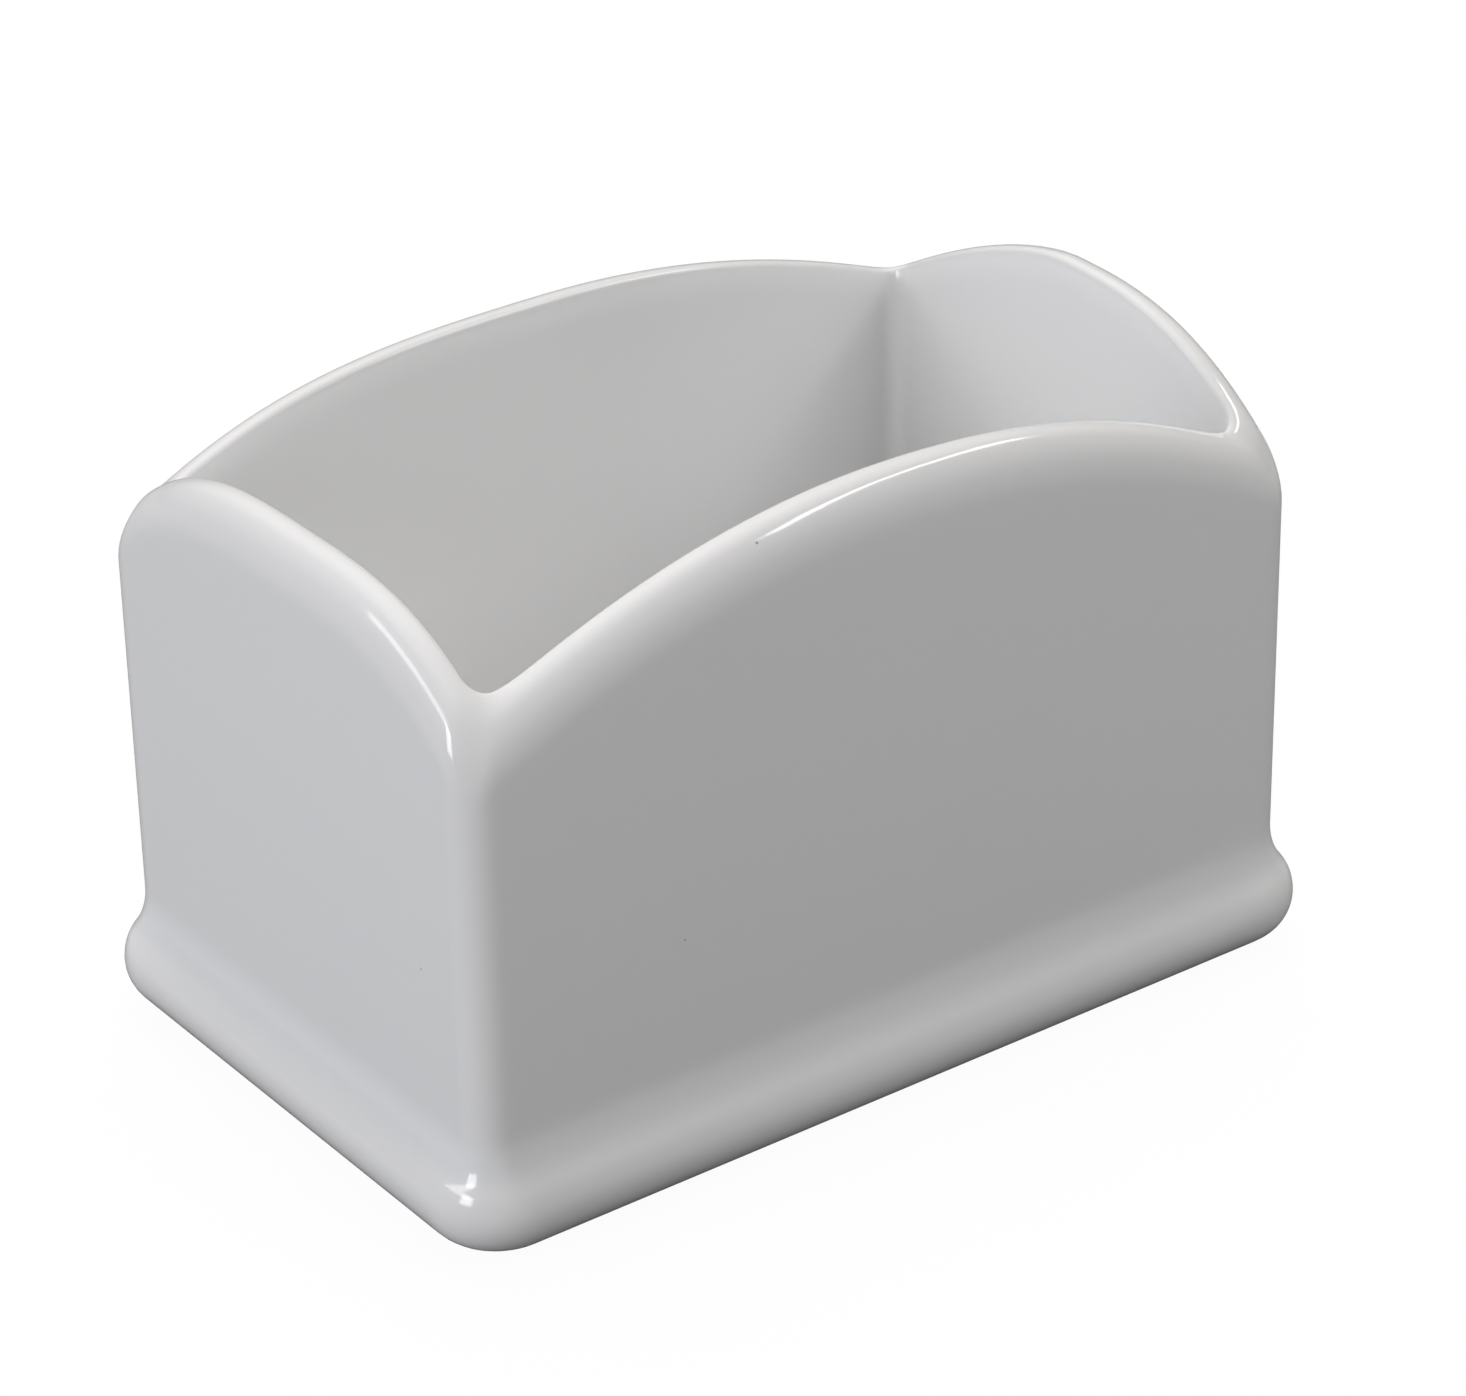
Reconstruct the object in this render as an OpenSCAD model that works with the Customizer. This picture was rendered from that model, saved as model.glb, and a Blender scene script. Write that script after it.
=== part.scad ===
// Sugar packet holder: an open porcelain box with four arched walls on a moulded plinth.
// The rims dip to soft valleys at the corners, and packets stand on edge in the well.
// X runs along the long walls, -Y is the front and +Z is up.
// The origin lies on the table, under the middle of the foot.

/* [Body] */
// Length over the glaze of the two end walls
body_length = 102.2; // [90:0.2:125]
// Width over the glaze of the two long walls
body_width = 65; // [56:0.5:85]
// Thickness of every wall, glaze included
wall_thickness = 4.9; // [4.6:0.1:6]
// Radius of the walls' four upright corners outside
corner_radius = 3.5; // [3:0.1:6]
// Radius of the walls' four upright corners inside
inner_corner_radius = 2; // [1.5:0.1:4]

/* [Rim] */
// Height of the rim where two walls meet
valley_height = 55.6; // [45:0.2:62]
// Rise of the front wall's arch above the valleys
front_rise = 14.2; // [6:0.1:18]
// Rise of the back wall's arch above the valleys
back_rise = 11.7; // [6:0.1:18]
// Rise of the left end wall's arch above the valleys
left_rise = 10.8; // [6:0.1:18]
// Rise of the right end wall's arch above the valleys
right_rise = 13.5; // [6:0.1:18]
// Roundness of the crease at the bottom of a valley
valley_softness = 0.5; // [0.2:0.05:1]
// Radius of the rim's shoulder outside, next to the crest
outer_shoulder = 2.4; // [1.8:0.1:2.6]
// Radius of the long slope that leads the outer shoulder into the wall
outer_slope = 7; // [5.5:0.5:10]
// Width that the shoulder and the slope take up inside
inner_width = 1.2; // [1.2:0.1:1.6]
// Radius of the rim's shoulder inside, next to the crest
inner_shoulder = 0.8; // [0.6:0.1:1.1]
// Radius of the slope that leads the inner shoulder into the wall
inner_slope = 10; // [6:0.5:12]
// Flat left on the crest between the two shoulders
crest_width = 0.1; // [0.05:0.05:0.3]

/* [Plinth] */
// How far the plinth stands out from the walls
plinth_reach = 3.2; // [2.6:0.1:4]
// Radius of the plinth's corners, seen from above
plinth_corner_radius = 8; // [6:0.1:9]
// Radius of the plinth's rounded underside
underside_radius = 4.8; // [3.5:0.1:6]
// Radius of the bulge above the underside
bulge_radius = 4.7; // [3:0.1:6]
// Radius of the cove that leads the bulge into the wall
cove_radius = 7.5; // [5:0.1:10]

/* [Floor and foot] */
// Thickness of the floor, glaze included
floor_thickness = 4.8; // [4:0.1:6]
// Radius of the cove between the floor and the walls
floor_cove = 3; // [2:0.1:4]
// Height of the bare foot ring
foot_height = 1.2; // [0.8:0.1:2]
// Width of the bare foot ring
foot_width = 3.2; // [2:0.1:5]
// Flat underside left outside the foot ring
foot_inset = 2.2; // [1.5:0.1:4]
// Radius of the foot ring's corners, seen from above
foot_corner_radius = 3; // [2:0.1:4]

/* [Glaze] */
// Thickness of the glaze
glaze_thickness = 0.3; // [0.2:0.05:0.4]
// Bare band wiped clear of glaze on each side of the foot ring
wiped_band = 0.6; // [0.4:0.1:1]

/* [Hidden] */

// Fullness of each half arch: 2 is a parabola, and more fills the shoulder. Halves run from -X or -Y.
front_fullness_shares = [2, 2.25];
back_fullness_shares = [3, 2.1];
left_fullness_shares = [3.2, 3.2];
right_fullness_shares = [2.65, 1.55];

half_length = body_length / 2;
half_width = body_width / 2;

// Underside of the glaze and top of the floor
underside_level = foot_height - glaze_thickness;
floor_level = foot_height + floor_thickness;

// The bulge and the cove are two arcs that meet on one slope, between the plinth's edge and the wall
bulge_level = underside_level + underside_radius;
ogee_radii = bulge_radius + cove_radius;
ogee_angle = acos((ogee_radii - plinth_reach) / ogee_radii);
plinth_top = bulge_level + ogee_radii * sin(ogee_angle);

// Offsets from the wall's outer face to the plinth's flat underside, the foot ring and the glaze's ends
flat_offset = plinth_reach - underside_radius;
foot_offset = flat_offset - foot_inset;
coat_end_offset = foot_offset + wiped_band;
recess_offset = foot_offset - foot_width - wiped_band;

// Steps along the long walls, the end walls and half a corner
wall_steps = [18, 12];
half_corner_steps = 3;
// Steps round the underside, bulge, cove, each side of the rim (slope and shoulder) and floor cove
coat_steps = [4, 3, 3, [4, 3], [3, 3], 3];
body_steps = [3, 2, 2, [2, 2], [2, 2], 3];
round_facets = 48;
overrun = foot_height;

// Stations along one wall, from mitre to mitre: a share of its straight run, and the turn round its corner
function wall_stations(steps) = concat(
    [for (i = [0:half_corner_steps - 1]) [-1, -45 + 45 * i / half_corner_steps]],
    [for (i = [0:steps]) [sin(-90 + 180 * i / steps), 0]],
    [for (i = [1:half_corner_steps]) [1, 45 * i / half_corner_steps]]);

stations = [wall_stations(wall_steps[0]), wall_stations(wall_steps[1])];

// Corner radius of the outline that lies a given offset outside the walls, and of one below the bulge
function radius_at(out) = out > 0
    ? corner_radius + (plinth_corner_radius - corner_radius) * out / plinth_reach
    : corner_radius - (corner_radius - inner_corner_radius) * min(1, -out / wall_thickness);
function low_radius_at(out) = max(foot_corner_radius, plinth_corner_radius - plinth_reach + out);

// Half the outline's reach along and across a wall; walls 0 to 3 are front, right, back and left
function run_of(wall, out) = out + (wall % 2 == 0 ? half_length : half_width);
function face_of(wall, out) = out + (wall % 2 == 0 ? half_width : half_length);

// A point of the front wall, turned to the given wall
function turned(p, wall) =
    wall == 0 ? p :
    wall == 1 ? [-p.y, p.x] :
    wall == 2 ? [-p.x, -p.y] :
    [p.y, -p.x];

// One station of a wall's outline, seen from above, with the outline's corner radius
function outline_point(wall, station, out, radius) =
    turned([
        (run_of(wall, out) - radius) * station[0] + radius * sin(station[1]),
        radius - face_of(wall, out) - radius * cos(station[1])
    ], wall);

// The stations of one wall, both mitres included, and those of the whole outline
function wall_outline(wall, out) = [
    for (s = stations[wall % 2]) outline_point(wall, s, out, radius_at(out))
];
function whole_outline(out, radius) = [
    for (wall = [0:3])
    for (i = [0:len(stations[wall % 2]) - 2])
    outline_point(wall, stations[wall % 2][i], out, radius)
];

// Height of an arch above the valleys at a share of its half span
function arch(rise, fullness_shares, share) =
    rise * (1 - pow(abs(share), fullness_shares[share < 0 ? 0 : 1]));

// Crest of the rim over any point: the higher of the two arches that meet there, with a soft crease
function rim_height(p) =
    let (
        along = p.y < 0
            ? arch(front_rise, front_fullness_shares, p.x / half_length)
            : arch(back_rise, back_fullness_shares, p.x / half_length),
        across = p.x < 0
            ? arch(left_rise, left_fullness_shares, p.y / half_width)
            : arch(right_rise, right_fullness_shares, p.y / half_width)
    )
    valley_height + (along + across) / 2 + sqrt(pow((along - across) / 2, 2) + pow(valley_softness, 2));

// Level profiles are pairs of offset and height. An inset of 0 gives the glaze, and the glaze's
// thickness gives the body under it.
function low_profile(inset, steps) = [
    for (i = [0:steps[0]]) let (a = 90 * i / steps[0])
    [
        flat_offset + (underside_radius - inset) * sin(a),
        underside_level + underside_radius - (underside_radius - inset) * cos(a)
    ]
];

function plinth_profile(inset, steps) = concat(
    [for (i = [1:steps[1]]) let (a = ogee_angle * i / steps[1])
        [
            plinth_reach - bulge_radius + (bulge_radius - inset) * cos(a),
            bulge_level + (bulge_radius - inset) * sin(a)
        ]],
    [for (i = [1:steps[2]]) let (a = ogee_angle * (1 - i / steps[2]))
        [
            cove_radius - (cove_radius + inset) * cos(a),
            plinth_top - (cove_radius + inset) * sin(a)
        ]]);

function floor_profile(inset, steps) = [
    for (i = [0:steps[5]]) let (a = 90 * i / steps[5])
    [
        (floor_cove + inset) * cos(a) - wall_thickness - floor_cove,
        floor_level + floor_cove - (floor_cove + inset) * sin(a)
    ]
];

// One side of the rim, from the wall to the crest: a slope and a shoulder that meet on one tangent.
// Its pairs are the distance in from the wall's face and the drop below the crest.
function rim_side(width, shoulder, slope, inset, steps) =
    let (
        turn = acos((slope - width) / (slope - shoulder)),
        fall = shoulder + (slope - shoulder) * sin(turn)
    )
    concat(
        [for (i = [0:steps[0]]) let (a = turn * i / steps[0])
            [slope - (slope - inset) * cos(a), fall - (slope - inset) * sin(a)]],
        [for (i = [1:steps[1]]) let (a = turn + (90 - turn) * i / steps[1])
            [width - (shoulder - inset) * cos(a), shoulder - (shoulder - inset) * sin(a)]]);

// The rim's profile is pairs of offset and drop below the crest
outer_width = wall_thickness - inner_width - crest_width;
function rim_profile(inset, steps) = concat(
    [for (q = rim_side(outer_width, outer_shoulder, outer_slope, inset, steps[3])) [-q[0], q[1]]],
    [for (q = backwards(rim_side(inner_width, inner_shoulder, inner_slope, inset, steps[4])))
        [q[0] - wall_thickness, q[1]]]);

// Rings of points from an outline and one pair of a profile
function level_ring(outline, level) = [for (p = outline) [p.x, p.y, level]];
function rim_ring(outline, drop) = [for (p = outline) [p.x, p.y, rim_height(p) - drop]];
function low_rings(profile) = [for (q = profile) level_ring(whole_outline(q[0], low_radius_at(q[0])), q[1])];
function level_rings(profile) = [for (q = profile) level_ring(whole_outline(q[0], radius_at(q[0])), q[1])];
function rim_rings(profile) = [for (q = profile) rim_ring(whole_outline(q[0], radius_at(q[0])), q[1])];

// The whole skin, from the edge of the bare foot round the rim and down to the floor
function skin_rings(inset, steps) = concat(
    low_rings([[coat_end_offset, underside_level + inset]]),
    low_rings(low_profile(inset, steps)),
    level_rings(plinth_profile(inset, steps)),
    rim_rings(rim_profile(inset, steps)),
    level_rings(floor_profile(inset, steps)));

function flat(lists) = [for (l = lists) for (v = l) v];
function backwards(list) = [for (i = [len(list) - 1:-1:0]) list[i]];

// Triangles between two rings, given the index of each ring's first point. A closed ring wraps round.
// The second form cuts each quad along its other diagonal, for rings taken in the opposite order.
function band(first, second, count, closed, crossed) = [
    for (j = [0:closed ? count - 1 : count - 2])
    let (k = (j + 1) % count)
    for (face = crossed
        ? [[first + j, second + j, first + k], [second + j, second + k, first + k]]
        : [[first + j, second + j, second + k], [first + j, second + k, first + k]])
    face
];

// Triangles that close a loop of points by crossing between its two sides
function closing(loop) = [
    for (n = [0:len(loop) - 3])
    let (low = ceil(n / 2), high = len(loop) - 1 - floor(n / 2))
    n % 2 == 0 ? [loop[low], loop[low + 1], loop[high]] : [loop[low], loop[high - 1], loop[high]]
];

// A closed solid between flat caps on its first and last ring; the first bands may be crossed
module ringed_solid(rings, crossed_bands = 0) {
    count = len(rings[0]);
    bands = len(rings) - 1;
    last = bands * count;
    polyhedron(flat(rings), concat(
        [[for (j = [0:count - 1]) j]],
        [for (i = [0:bands - 1]) each band(i * count, (i + 1) * count, count, true, i < crossed_bands)],
        [[for (j = [count - 1:-1:0]) last + j]]), convexity = 10);
}

// One wall of the body, from mitre to mitre, standing on the base
module arched_wall(wall) {
    inset = glaze_thickness;
    outer = wall_outline(wall, -inset);
    inner = wall_outline(wall, inset - wall_thickness);
    rim = [for (q = rim_profile(inset, body_steps)) rim_ring(wall_outline(wall, q[0]), q[1])];
    rings = concat([level_ring(outer, plinth_top)], rim, [level_ring(inner, plinth_top)]);
    count = len(outer);
    turns = len(rings);
    near_end = [for (i = [0:turns - 1]) i * count];
    far_end = [for (i = near_end) i + count - 1];
    polyhedron(flat(rings), concat(
        [for (i = [0:turns - 1]) each band(i * count, (i + 1) % turns * count, count, false, false)],
        closing(backwards(near_end)),
        closing(far_end)), convexity = 10);
}

// A flat plate below the bulge, whose outline lies the given offset outside the walls
module plate(out, height) {
    r = low_radius_at(out);
    x = half_length + out;
    y = half_width + out;
    linear_extrude(height) {
        square([2 * x, 2 * (y - r)], center = true);
        square([2 * (x - r), 2 * y], center = true);
        for (sx = [-1, 1], sy = [-1, 1]) {
            translate([sx * (x - r), sy * (y - r)])
                circle(r, $fn = round_facets);
        }
    }
}

module front_wall() {
    color("silver")
        arched_wall(0);
}

module right_end_wall() {
    color("lightgray")
        arched_wall(1);
}

module back_wall() {
    color("silver")
        arched_wall(2);
}

module left_end_wall() {
    color("lightgray")
        arched_wall(3);
}

// Floor and plinth in one: a shallow tray with a moulded edge, which the walls stand on
module base() {
    inset = glaze_thickness;
    color("gainsboro")
        ringed_solid(concat(
            low_rings(low_profile(inset, body_steps)),
            level_rings(plinth_profile(inset, body_steps)),
            level_rings([[inset - wall_thickness, plinth_top]]),
            level_rings(floor_profile(inset, body_steps))));
}

// Bare ring that the holder stands on
module foot_ring() {
    color("linen")
        difference() {
            plate(foot_offset, foot_height);
            translate([0, 0, -overrun])
                plate(foot_offset - foot_width, foot_height + 2 * overrun);
        }
}

// Glaze over the whole body, and the glazed recess inside the foot ring
module glaze_coat() {
    under = skin_rings(glaze_thickness, body_steps);
    over = skin_rings(0, coat_steps);
    color("whitesmoke") {
        ringed_solid(concat(backwards(under), over), len(under) - 1);
        translate([0, 0, underside_level])
            plate(recess_offset, glaze_thickness);
    }
}

front_wall();
right_end_wall();
back_wall();
left_end_wall();
base();
foot_ring();
glaze_coat();
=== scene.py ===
"""Sugar packet holder in glazed white porcelain, standing on a pale floor in soft studio light.

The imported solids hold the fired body. This script fires the glaze over them as one smooth skin, dresses
the bare porcelain that shows under the foot, and sets up the floor, the softboxes and the camera.
"""

import logging
import math
from dataclasses import dataclass
from enum import Enum
from functools import cached_property

import bmesh
import bpy
from mathutils import Matrix, Vector


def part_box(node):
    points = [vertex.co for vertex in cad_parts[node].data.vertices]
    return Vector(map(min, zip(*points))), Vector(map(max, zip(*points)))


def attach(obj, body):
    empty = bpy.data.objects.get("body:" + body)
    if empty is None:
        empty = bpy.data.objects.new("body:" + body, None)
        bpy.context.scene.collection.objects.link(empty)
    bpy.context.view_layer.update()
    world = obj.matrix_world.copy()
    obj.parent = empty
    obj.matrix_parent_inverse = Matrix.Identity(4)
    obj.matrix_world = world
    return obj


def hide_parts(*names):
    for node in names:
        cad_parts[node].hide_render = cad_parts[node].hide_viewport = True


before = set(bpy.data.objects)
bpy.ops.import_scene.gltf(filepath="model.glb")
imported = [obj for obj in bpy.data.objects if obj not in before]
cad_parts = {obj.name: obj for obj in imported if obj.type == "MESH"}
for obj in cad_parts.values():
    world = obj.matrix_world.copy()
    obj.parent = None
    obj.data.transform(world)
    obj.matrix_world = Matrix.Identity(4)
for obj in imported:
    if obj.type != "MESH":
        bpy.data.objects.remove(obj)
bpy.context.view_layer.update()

MM = 0.001
BODY = "root"

log = logging.getLogger("holder")


class Slot(Enum):
    """Names of the finishes; the porcelain and the bare foot name their materials."""

    PORCELAIN = "porcelain"
    BARE_FOOT = "bare_foot"
    GLAZE = "glaze"


class Wall(Enum):
    """The four walls, counted round the holder from the front as seen from above."""

    FRONT = 0
    RIGHT = 1
    BACK = 2
    LEFT = 3

    @property
    def is_long(self) -> bool:
        """Whether the wall runs along X."""
        return self.value % 2 == 0

    def turned(self, x: float, y: float) -> Vector:
        """Turn a point of the front wall to this wall.

        Args:
            x: The point's place along the front wall.
            y: The point's place across it.

        Returns:
            The turned point, seen from above.
        """
        return Vector(((x, y), (-y, x), (-x, -y), (y, -x))[self.value])


def deselect_all() -> None:
    """Leave no object selected, and none active."""
    bpy.ops.object.select_all(action="DESELECT")
    bpy.context.view_layer.objects.active = None


def apply_modifier(piece: bpy.types.Object, kind: str, **settings: object) -> None:
    """Add a modifier to the active piece and apply it.

    Args:
        piece: The piece, selected and active.
        kind: The modifier's type.
        **settings: The modifier's settings.
    """
    modifier = piece.modifiers.new(kind.lower(), kind)
    for name, value in settings.items():
        setattr(modifier, name, value)
    bpy.ops.object.modifier_apply(modifier=modifier.name)


def settle_normals(piece: bpy.types.Object, sharp_angle: float) -> None:
    """Point the active piece's faces outwards and shade it smooth up to an angle.

    Args:
        piece: The piece, selected and active.
        sharp_angle: Angle in radians past which an edge stays sharp.
    """
    bpy.ops.object.mode_set(mode="EDIT")
    bpy.ops.mesh.select_all(action="SELECT")
    bpy.ops.mesh.normals_make_consistent(inside=False)
    bpy.ops.object.mode_set(mode="OBJECT")
    bpy.ops.object.shade_smooth_by_angle(angle=sharp_angle)


@dataclass(frozen=True)
class Arch:
    """The arched rim of one wall.

    Attributes:
        rise: Height of the crown above the corner valleys.
        near_fullness: Fullness of the half towards -X or -Y; 2 is a parabola, and more fills the shoulder.
        far_fullness: Fullness of the other half.
    """

    rise: float
    near_fullness: float
    far_fullness: float

    def height(self, share: float) -> float:
        """Height above the valleys at a share of the half span."""
        return self.rise * (1 - abs(share) ** (self.near_fullness if share < 0 else self.far_fullness))


@dataclass(frozen=True)
class RimSide:
    """One side of the rim: a slope and a shoulder that meet on one tangent.

    Attributes:
        width: Width from the wall's face to the crest.
        shoulder: Radius next to the crest.
        slope: Radius that leads the shoulder into the wall.
    """

    width: float
    shoulder: float
    slope: float

    def profile(self, steps: tuple[int, int]) -> list[tuple[float, float, float]]:
        """Lay out the side from the wall to the crest.

        Args:
            steps: Steps round the slope and the shoulder.

        Returns:
            For each point its distance from the wall's face, its drop below the crest and its turn.
        """
        turn = math.acos((self.slope - self.width) / (self.slope - self.shoulder))
        fall = self.shoulder + (self.slope - self.shoulder) * math.sin(turn)
        points = []
        for i in range(steps[0] + 1):
            a = turn * i / steps[0]
            points.append((self.slope * (1 - math.cos(a)), fall - self.slope * math.sin(a), a))
        for i in range(1, steps[1] + 1):
            a = turn + (math.pi / 2 - turn) * i / steps[1]
            points.append((self.width - self.shoulder * math.cos(a), self.shoulder * (1 - math.sin(a)), a))
        return points


@dataclass(frozen=True)
class Ring:
    """One ring of the glazed surface.

    Attributes:
        offset: How far the ring lies outside the walls.
        level: Height above the table, or drop below the crest for a ring of the rim.
        pooling: How thick the melted glaze lies, from -1 on sharp crests to 1 in deep coves.
        follows_rim: Whether the ring follows the rim's arches.
        is_low: Whether the ring lies below the bulge, where the corners are rounded about the plinth's.
    """

    offset: float
    level: float
    pooling: float
    follows_rim: bool = False
    is_low: bool = False


@dataclass(frozen=True)
class HolderForm:
    """The form that the body and the glaze share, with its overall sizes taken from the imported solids.

    Attributes:
        corner_radius: Radius of the walls' upright corners outside.
        inner_corner_radius: Radius of the walls' upright corners inside.
        plinth_corner_radius: Radius of the plinth's corners, seen from above.
        foot_corner_radius: Radius of the foot ring's corners, seen from above.
        wall_thickness: Thickness of every wall, glaze included.
        glaze_thickness: Thickness of the glaze.
        valley_height: Height of the rim where two walls meet.
        valley_softness: Roundness of the crease at the bottom of a valley.
        outer_side: The rim's side outside.
        inner_side: The rim's side inside.
        underside_radius: Radius of the plinth's rounded underside.
        bulge_radius: Radius of the bulge above the underside.
        cove_radius: Radius of the cove that leads the bulge into the wall.
        floor_thickness: Thickness of the floor, glaze included.
        floor_cove: Radius of the cove between the floor and the walls.
        foot_width: Width of the bare foot ring.
        wiped_band: Bare band wiped clear of glaze on each side of the foot ring.
        arches: The arches of the front, right, back and left walls.
    """

    corner_radius: float = 3.5 * MM
    inner_corner_radius: float = 2 * MM
    plinth_corner_radius: float = 8 * MM
    foot_corner_radius: float = 3 * MM
    wall_thickness: float = 4.9 * MM
    glaze_thickness: float = 0.3 * MM
    valley_height: float = 55.6 * MM
    valley_softness: float = 0.5 * MM
    outer_side: RimSide = RimSide(3.6 * MM, 2.4 * MM, 7 * MM)
    inner_side: RimSide = RimSide(1.2 * MM, 0.8 * MM, 10 * MM)
    underside_radius: float = 4.8 * MM
    bulge_radius: float = 4.7 * MM
    cove_radius: float = 7.5 * MM
    floor_thickness: float = 4.8 * MM
    floor_cove: float = 3 * MM
    foot_width: float = 3.2 * MM
    wiped_band: float = 0.6 * MM
    arches: tuple[Arch, Arch, Arch, Arch] = (
        Arch(14.2 * MM, 2.0, 2.25),
        Arch(13.5 * MM, 2.65, 1.55),
        Arch(11.7 * MM, 3.0, 2.1),
        Arch(10.8 * MM, 3.2, 3.2),
    )

    @cached_property
    def half_length(self) -> float:
        """Half the length over the end walls' glaze."""
        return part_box("right_end_wall")[1].x + self.glaze_thickness

    @cached_property
    def half_width(self) -> float:
        """Half the width over the long walls' glaze."""
        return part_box("back_wall")[1].y + self.glaze_thickness

    @cached_property
    def plinth_reach(self) -> float:
        """How far the plinth stands out from the walls."""
        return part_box("glaze_coat")[1].x - self.half_length

    @cached_property
    def foot_height(self) -> float:
        """Height of the bare foot ring."""
        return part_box("foot_ring")[1].z

    @cached_property
    def underside_level(self) -> float:
        """Height of the glazed underside above the table."""
        return self.foot_height - self.glaze_thickness

    @cached_property
    def floor_level(self) -> float:
        """Height of the floor's top above the table."""
        return self.foot_height + self.floor_thickness

    @cached_property
    def foot_offset(self) -> float:
        """Offset of the foot ring's outer side from the walls, negative inside them."""
        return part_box("foot_ring")[1].x - self.half_length

    def radius_at(self, offset: float) -> float:
        """Corner radius of an outline.

        Args:
            offset: How far the outline lies outside the walls.

        Returns:
            The radius.
        """
        if offset > 0:
            widening = self.plinth_corner_radius - self.corner_radius
            return self.corner_radius + widening * offset / self.plinth_reach
        share = min(1.0, -offset / self.wall_thickness)
        return self.corner_radius - (self.corner_radius - self.inner_corner_radius) * share

    def low_radius_at(self, offset: float) -> float:
        """Corner radius of such an outline below the bulge."""
        return max(self.foot_corner_radius, self.plinth_corner_radius - self.plinth_reach + offset)

    def outline_point(self, wall: Wall, share: float, turn: float, offset: float, radius: float) -> Vector:
        """One station of the outline.

        Args:
            wall: The wall that the station lies on.
            share: Place along the wall's straight run, from -1 to 1.
            turn: Turn round the corner in radians, 0 on the straight run.
            offset: How far the outline lies outside the walls.
            radius: The outline's corner radius.

        Returns:
            The station's place, seen from above.
        """
        run = offset + (self.half_length if wall.is_long else self.half_width)
        face = offset + (self.half_width if wall.is_long else self.half_length)
        return wall.turned(
            (run - radius) * share + radius * math.sin(turn),
            radius - face - radius * math.cos(turn),
        )

    def crest(self, point: Vector) -> float:
        """Find the rim's crest over a point: the higher of the two arches there, with a soft crease.

        Args:
            point: The point, seen from above.

        Returns:
            The crest's height above the ground.
        """
        front, right, back, left = self.arches
        along = (front if point.y < 0 else back).height(point.x / self.half_length)
        across = (left if point.x < 0 else right).height(point.y / self.half_width)
        crease = math.hypot((along - across) / 2, self.valley_softness)
        return self.valley_height + (along + across) / 2 + crease


@dataclass(frozen=True)
class Socket:
    """A value or socket of a node tree that takes part in written sums."""

    desk: "NodeDesk"
    source: bpy.types.NodeSocket

    def _sum(self, operation: str, first: object, second: object) -> "Socket":
        """Add a Math node on two values."""
        node = self.desk.add("ShaderNodeMath", {"operation": operation}, {0: first, 1: second})
        return Socket(self.desk, node.outputs[0])

    def __add__(self, other: object) -> "Socket":
        """self + other."""
        return self._sum("ADD", self, other)

    def __radd__(self, other: object) -> "Socket":
        """other + self."""
        return self._sum("ADD", other, self)

    def __sub__(self, other: object) -> "Socket":
        """self - other."""
        return self._sum("SUBTRACT", self, other)

    def __rsub__(self, other: object) -> "Socket":
        """other - self."""
        return self._sum("SUBTRACT", other, self)

    def __mul__(self, other: object) -> "Socket":
        """self * other."""
        return self._sum("MULTIPLY", self, other)

    def __rmul__(self, other: object) -> "Socket":
        """other * self."""
        return self._sum("MULTIPLY", other, self)

    def at_least(self, other: object) -> "Socket":
        """The larger of the two values."""
        return self._sum("MAXIMUM", self, other)


@dataclass
class NodeDesk:
    """The desk that a material's or the world's nodes are laid out on.

    Attributes:
        tree: The node tree.
    """

    tree: bpy.types.NodeTree

    def add(self, kind: str, settings: dict | None = None, inputs: dict | None = None) -> bpy.types.Node:
        """Add a node.

        Args:
            kind: The node's type.
            settings: Properties that are set first; "stops" sets a colour ramp's stops.
            inputs: Values, Sockets or node outputs by the name or number of the input that takes them.

        Returns:
            The node.
        """
        node = self.tree.nodes.new(kind)
        for name, value in (settings or {}).items():
            if name == "stops":
                self._set_stops(node.color_ramp, value)
            else:
                setattr(node, name, value)
        for name, value in (inputs or {}).items():
            if isinstance(value, Socket):
                value = value.source
            if isinstance(value, bpy.types.NodeSocket):
                self.tree.links.new(value, node.inputs[name])
            else:
                node.inputs[name].default_value = value
        return node

    def _set_stops(self, ramp: bpy.types.ColorRamp, stops: list) -> None:
        """Set a ramp's stops.

        Args:
            ramp: The ramp.
            stops: Pairs of a position and a grey value or colour.
        """
        while len(ramp.elements) < len(stops):
            ramp.elements.new(1.0)
        for element, (position, value) in zip(ramp.elements, stops):
            element.position = position
            element.color = (value, value, value, 1) if isinstance(value, (int, float)) else value

    def socket(self, source: bpy.types.NodeSocket) -> Socket:
        """Wrap a node's output so that it takes part in sums."""
        return Socket(self, source)

    def blend(self, factor: object, first: object, second: object) -> bpy.types.NodeSocket:
        """Mix two colours.

        Args:
            factor: Share of the second colour.
            first: The first colour, or a link to one.
            second: The second colour, or a link to one.

        Returns:
            The mixed colour's output.
        """
        node = self.add("ShaderNodeMix", {"data_type": "RGBA"}, {"Factor": factor})
        for socket, value in zip([s for s in node.inputs if s.type == "RGBA"], (first, second)):
            if isinstance(value, bpy.types.NodeSocket):
                self.tree.links.new(value, socket)
            else:
                socket.default_value = value
        return next(s for s in node.outputs if s.type == "RGBA")

    def noise(self, scale: float, detail: float, offset: tuple[float, float, float] = (0, 0, 0)) -> Socket:
        """A noise on Object coordinates.

        Args:
            scale: Features per metre.
            detail: Octaves of finer noise.
            offset: Shift of the pattern.

        Returns:
            The noise's value.
        """
        place = self.add("ShaderNodeTexCoord").outputs["Object"]
        shifted = self.add("ShaderNodeMapping", None, {"Vector": place, "Location": offset})
        node = self.add(
            "ShaderNodeTexNoise", None, {"Vector": shifted.outputs[0], "Scale": scale, "Detail": detail}
        )
        return self.socket(node.outputs[0])


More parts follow.
